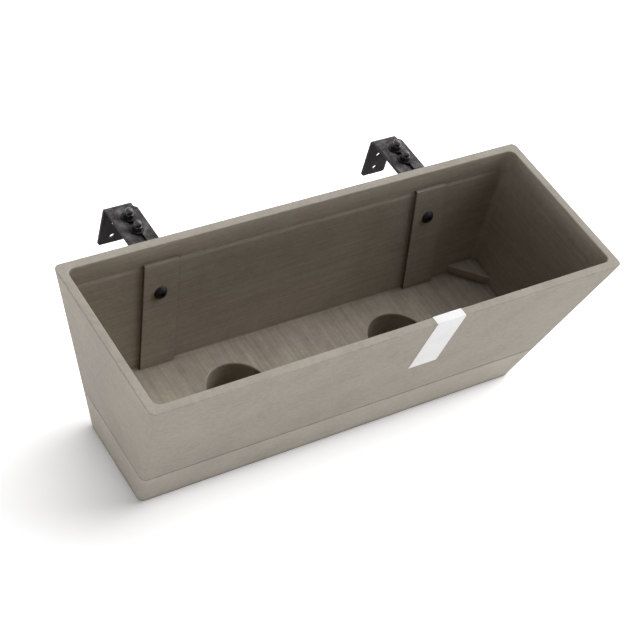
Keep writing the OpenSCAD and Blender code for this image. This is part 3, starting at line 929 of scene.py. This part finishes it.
def clampWasher():
    return washerForm(clamp["washerRadius"], clamp["washerHole"], clamp["washerThickness"])


def domeNut():
    piece = newPiece("domeNut", hexBlank(clamp["nutFlats"], clamp["hexHeight"]))
    ball, centre, start = clamp["domeRadius"], clamp["domeCentre"], clamp["domeStart"]
    arc = [(x, centre + z) for x, z in (onArc(ball, a) for a in range(0, 90, 9))]
    combine(piece, lathe([(0, start), (ball, start)] + arc + [(0, centre + ball)], steps=40), "UNION")
    thread = cylinder(clamp["radius"] + clamp["threadPlay"], -over, clamp["threadDepth"], 32)
    return takeForm(cut(piece, thread))


wallBolt = {
    "radius": 4, "headRadius": 8, "headHeight": 5, "socketFlats": 5, "socketDepth": 2.6,
    "washerRadius": 8, "washerHole": 4.2, "washerThickness": 1.6, "nutFlats": 13, "nutHeight": 6.5,
    "pitch": 1.25, "threadTurns": 9, "threadPlay": 0.03, "tip": 0.4, "sink": 0.5,
    "end": 4.3, "endPoint": 0.5, "ridgeEnd": 0.1, "turnSteps": 28,
    # shares of the pitch
    "rootShare": 0.65, "coreShare": 0.6, "flankShare": 0.46, "crestShare": 0.07,
}


def threadRidge(top):
    # one ridge wound up to the bolt's end
    form = bmesh.new()
    radius, pitch, turns = wallBolt["radius"], wallBolt["pitch"], wallBolt["threadTurns"]
    root, steps = radius - wallBolt["rootShare"] * pitch, wallBolt["turnSteps"]
    flank, crest = wallBolt["flankShare"] * pitch, wallBolt["crestShare"] * pitch
    start = top - pitch * (turns + 0.5)
    dots = [form.verts.new((r, 0, start + z))
            for r, z in ((root, -flank), (radius, -crest), (radius, crest), (root, flank))]
    bmesh.ops.spin(form, geom=[form.faces.new(dots)], cent=(0, 0, 0), axis=(0, 0, 1),
                   dvec=(0, 0, pitch / steps), angle=turns * math.tau, steps=turns * steps, use_merge=False)
    return facingOut(form)


def makeWallBolt(side, name, node):
    nutEnd = bracket["plate"] + wallBolt["washerThickness"] + wallBolt["nutHeight"]
    length = pot["wall"] + nutEnd + wallBolt["end"]
    radius, pitch, tip = wallBolt["radius"], wallBolt["pitch"], wallBolt["tip"]
    threadLow = length - pitch * (wallBolt["threadTurns"] + 1)
    core, head = radius - wallBolt["coreShare"] * pitch, wallBolt["headHeight"]
    dome = [(r, -z) for r, z in domeProfile(wallBolt["headRadius"], head, steps=10)]
    shank = [(0, length), (core - tip, length), (core, length - wallBolt["endPoint"]),
             (core, threadLow), (radius, threadLow - tip), (radius, 0)]
    piece = newPiece(name, lathe(shank + dome, steps=56))
    socket = hexBar(wallBolt["socketFlats"], -head - over, -head + wallBolt["socketDepth"])
    cut(piece, socket)
    form = bmesh.new()
    form.from_mesh(piece.data)
    addForm(form, threadRidge(length - wallBolt["ridgeEnd"]))
    moved(form, onWallBolt(side, stripBack))
    form.to_mesh(piece.data)
    form.free()
    finishPiece(piece, "pot", node, blackFastener, softEdge=0.2, edgeAngle=45)


def makeWallNut(side, name, node):
    piece = newPiece(name, hexBlank(wallBolt["nutFlats"], wallBolt["nutHeight"]))
    # the bore opens at both ends with a small countersink
    radius, high = wallBolt["radius"] + wallBolt["threadPlay"], wallBolt["nutHeight"]
    sink, wide = wallBolt["sink"], radius + wallBolt["sink"] + over
    bore = lathe([(0, -over), (wide, -over), (radius + sink, 0), (radius, sink), (radius, high - sink),
                  (radius + sink, high), (wide, high + over), (0, high + over)], steps=40)
    cut(piece, bore)
    piece.data.transform(onWallBolt(side, bracket["bendRadius"] - wallBolt["washerThickness"]))
    finishPiece(piece, "pot", node, blackFastener, softEdge=0.2, edgeAngle=28)


for side, word in ((-1, "left"), (1, "right")):
    middle = atBracket(side)
    hookSet = f"{word}_hook_set"
    makeArm(side, f"{word}Arm", f"{word}_arm")
    makeHook(side, f"{word}Hook", f"{word}_hook", hookSet)
    bolts = newPiece(f"{word}ClampBolts", moved(twoOf(carriageBolt, hookUnder), middle))
    finishPiece(bolts, hookSet, f"{word}_clamp_bolts", blackFastener,
                softEdge=0.25, edgeAngle=45)
    washers = newPiece(f"{word}ClampWashers", moved(twoOf(clampWasher, armTop), middle))
    finishPiece(washers, hookSet, f"{word}_clamp_washers", blackFastener)
    nuts = newPiece(f"{word}DomeNuts", moved(twoOf(domeNut, armTop + clamp["washerThickness"]), middle))
    finishPiece(nuts, hookSet, f"{word}_dome_nuts", polishedFastener,
                softEdge=0.2, edgeAngle=28)
    makeWallBolt(side, f"{word}WallBolt", f"{word}_wall_bolt")
    ring = washerForm(wallBolt["washerRadius"], wallBolt["washerHole"], wallBolt["washerThickness"])
    finishPiece(newPiece(f"{word}WallWasher", moved(ring, onWallBolt(side, bracket["bendRadius"]))), "pot",
                f"{word}_wall_washer", blackFastener)
    makeWallNut(side, f"{word}WallNut", f"{word}_wall_nut")
    print(word, "bracket made")


# Card tag folded over the rim

tag = {
    "width": 37.5, "thickness": 0.5, "left": 41.2, "skew": 4.5, "drop": 94.5, "flapGap": 3,
    "fold": 0.7, "cuts": 24, "bow": 0.8, "bowStart": 2, "bowEnd": 6.5,
}


def makeTag():
    top, cardLow = box["height"], box["height"] - tag["drop"]
    front = -box["width"] / 2
    inside = front + pot["rimLand"]
    form = bmesh.new()
    points = ((-halfWidth(cardLow), cardLow), (front, top),
              (inside, top), (inside, bandLow + tag["flapGap"]))
    dots = [form.verts.new((tag["left"], y, z)) for y, z in points]
    line = [form.edges.new(pair) for pair in zip(dots, dots[1:])]
    pull(form, bmesh.ops.extrude_edge_only(form, edges=line), (tag["width"], 0, 0))
    folds = [e for e in form.edges if len(e.link_faces) == 2]
    roundEdges(form, folds, tag["fold"], segments=4)
    longEdges = [e for e in form.edges if abs(e.verts[0].co.z - e.verts[1].co.z) > tag["drop"] / 2]
    bmesh.ops.subdivide_edges(form, edges=longEdges, cuts=tag["cuts"], use_grid_fill=True)
    facingOut(form)
    frontFace = min(form.faces, key=lambda f: f.calc_center_median().y)
    if frontFace.normal.y > 0:
        bmesh.ops.reverse_faces(form, faces=form.faces)
    bmesh.ops.solidify(form, geom=list(form.faces), thickness=-tag["thickness"])
    facingOut(form)
    # the lower end lies askew
    rate = tag["skew"] / (top + tag["thickness"] - cardLow)
    shear = Matrix.Identity(4)
    shear[0][2] = -rate
    shear[0][3] = rate * (top + tag["thickness"])
    moved(form, shear)
    # and below its fold the card bows off the wall by a hair
    for dot in form.verts:
        if dot.co.z < top - tag["bowStart"] and dot.co.y < front + tag["bowEnd"]:
            dot.co.y -= tag["bow"] * ((top - dot.co.z) / tag["drop"]) ** 3
    finishPiece(newPiece("rimTagCard", form), "pot", "rim_tag", card)


makeTag()
print("tag made")


# Floor, light and camera

stageLook = {
    "floorShade": 0.86, "floorLift": 0.22,     # what the camera sees on top of the lit floor
    "floorGlow": 0.6, "glowStart": 0.7,        # and how that grows away from the box, painted light that shapes the box's shadow
    "glowReach": (0.090, 0.018),               # beyond its ends and beyond its sides, in metres
    "wallLight": 3.05, "wallLow": 6, "wallHigh": 14,    # pale walls all round, lit up to these heights
    "wallTurn": 0.2,                           # how much stronger they are on the left
    "floorSize": 30, "softness": 50, "lampDistance": 3,
    # degrees from +X towards +Y, degrees above the horizon, and power
    "lamps": {"sideLamp": (0, 35, 2.36), "topLamp": (45, 60, 1.48)},
}


def seenShare(tree):
    # 1 for rays from the camera, or that leave a glossy or clear surface
    path = addNode(tree, "LightPath").outputs
    mirrored = addMath(tree, "MAXIMUM", path["Is Glossy Ray"], path["Is Transmission Ray"])
    return addMath(tree, "MAXIMUM", path["Is Camera Ray"], mirrored)


def glowAround(tree):
    # painted light on the floor: extra brightness, 0 under the box and more the further from it, so the
    # box's shadow ends close beside its sides and far beyond its ends
    place = splitVector(tree, addNode(tree, "TexCoord").outputs["Object"])
    away = []
    for axis, half, reach in zip("XY", (halfLength(0), halfWidth(0)), stageLook["glowReach"]):
        outside = minus(tree, addMath(tree, "ABSOLUTE", place[axis]), half * metres)
        part = addMath(tree, "DIVIDE", addMath(tree, "MAXIMUM", outside, 0.0), reach)
        away.append(times(tree, part, part))
    apart = addMath(tree, "SQRT", plus(tree, *away))
    share = addMath(tree, "DIVIDE", apart, plus(tree, apart, stageLook["glowStart"]))
    return times(tree, share, stageLook["floorGlow"])


def emptyTree(owner):
    owner.use_nodes = True
    owner.node_tree.nodes.clear()
    return owner.node_tree


def makeFloor():
    form = bmesh.new()
    bmesh.ops.create_grid(form, x_segments=1, y_segments=1, size=stageLook["floorSize"])
    floor = newPiece("studioFloor", form)
    material = bpy.data.materials.new("studioWhite")
    tree = emptyTree(material)
    output = addNode(tree, "OutputMaterial")
    shade = stageLook["floorShade"]
    matte = addNode(tree, "BsdfDiffuse", {"Color": (shade, shade, shade, 1.0)})
    lift = addNode(tree, "Emission", {"Color": (1.0, 1.0, 1.0, 1.0)})
    brightness = plus(tree, glowAround(tree), stageLook["floorLift"])
    tree.links.new(times(tree, seenShare(tree), brightness), lift.inputs["Strength"])
    both = addNode(tree, "AddShader")
    tree.links.new(matte.outputs[0], both.inputs[0])
    tree.links.new(lift.outputs[0], both.inputs[1])
    tree.links.new(both.outputs[0], output.inputs["Surface"])
    floor.data.materials.append(material)


def makeLight():
    world = bpy.data.worlds.new("studio")
    bpy.context.scene.world = world
    tree = emptyTree(world)
    output = addNode(tree, "OutputWorld")
    background = addNode(tree, "Background", {"Color": (1.0, 1.0, 1.0, 1.0)})
    towards = splitVector(tree, addNode(tree, "TexCoord").outputs["Generated"])
    low, high = (math.sin(math.radians(stageLook[key])) for key in ("wallLow", "wallHigh"))
    walls = addRange(tree, towards["Z"], low, high, stageLook["wallLight"], 0.0)
    leftward = minus(tree, 1.0, times(tree, towards["X"], stageLook["wallTurn"]))
    strength = addBlend(tree, seenShare(tree), times(tree, walls, leftward), 1.0)
    tree.links.new(strength, background.inputs["Strength"])
    tree.links.new(background.outputs[0], output.inputs["Surface"])
    for name, (azimuth, height, power) in stageLook["lamps"].items():
        sun = bpy.data.lights.new(name, "SUN")
        sun.energy = power
        sun.angle = math.radians(stageLook["softness"])
        lamp = placeObject(name, sun)
        level, rise = onArc(1, height)
        place = Vector((*onArc(level, azimuth), rise))
        lamp.rotation_euler = place.to_track_quat("Z", "Y").to_euler()
        lamp.location = place * stageLook["lampDistance"]


view = {
    "place": (-0.975434, -0.975307, 1.500567), "turn": (43.75591, -12.29662, -31.86547),
    "lens": 99.036, "sensor": 36.0, "shift": 0.5 / 640,
}


def makeCamera():
    lens = bpy.data.cameras.new("photoView")
    lens.lens = view["lens"]
    lens.sensor_width = view["sensor"]
    lens.shift_x = -view["shift"]
    lens.shift_y = view["shift"]
    lens.clip_start, lens.clip_end = 0.05, 100
    camera = placeObject("photoView", lens)
    camera.location = view["place"]
    camera.rotation_euler = [math.radians(a) for a in view["turn"]]
    bpy.context.scene.camera = camera


makeFloor()
makeLight()
makeCamera()
bpy.context.scene.view_settings.view_transform = "Standard"
print("stage set")
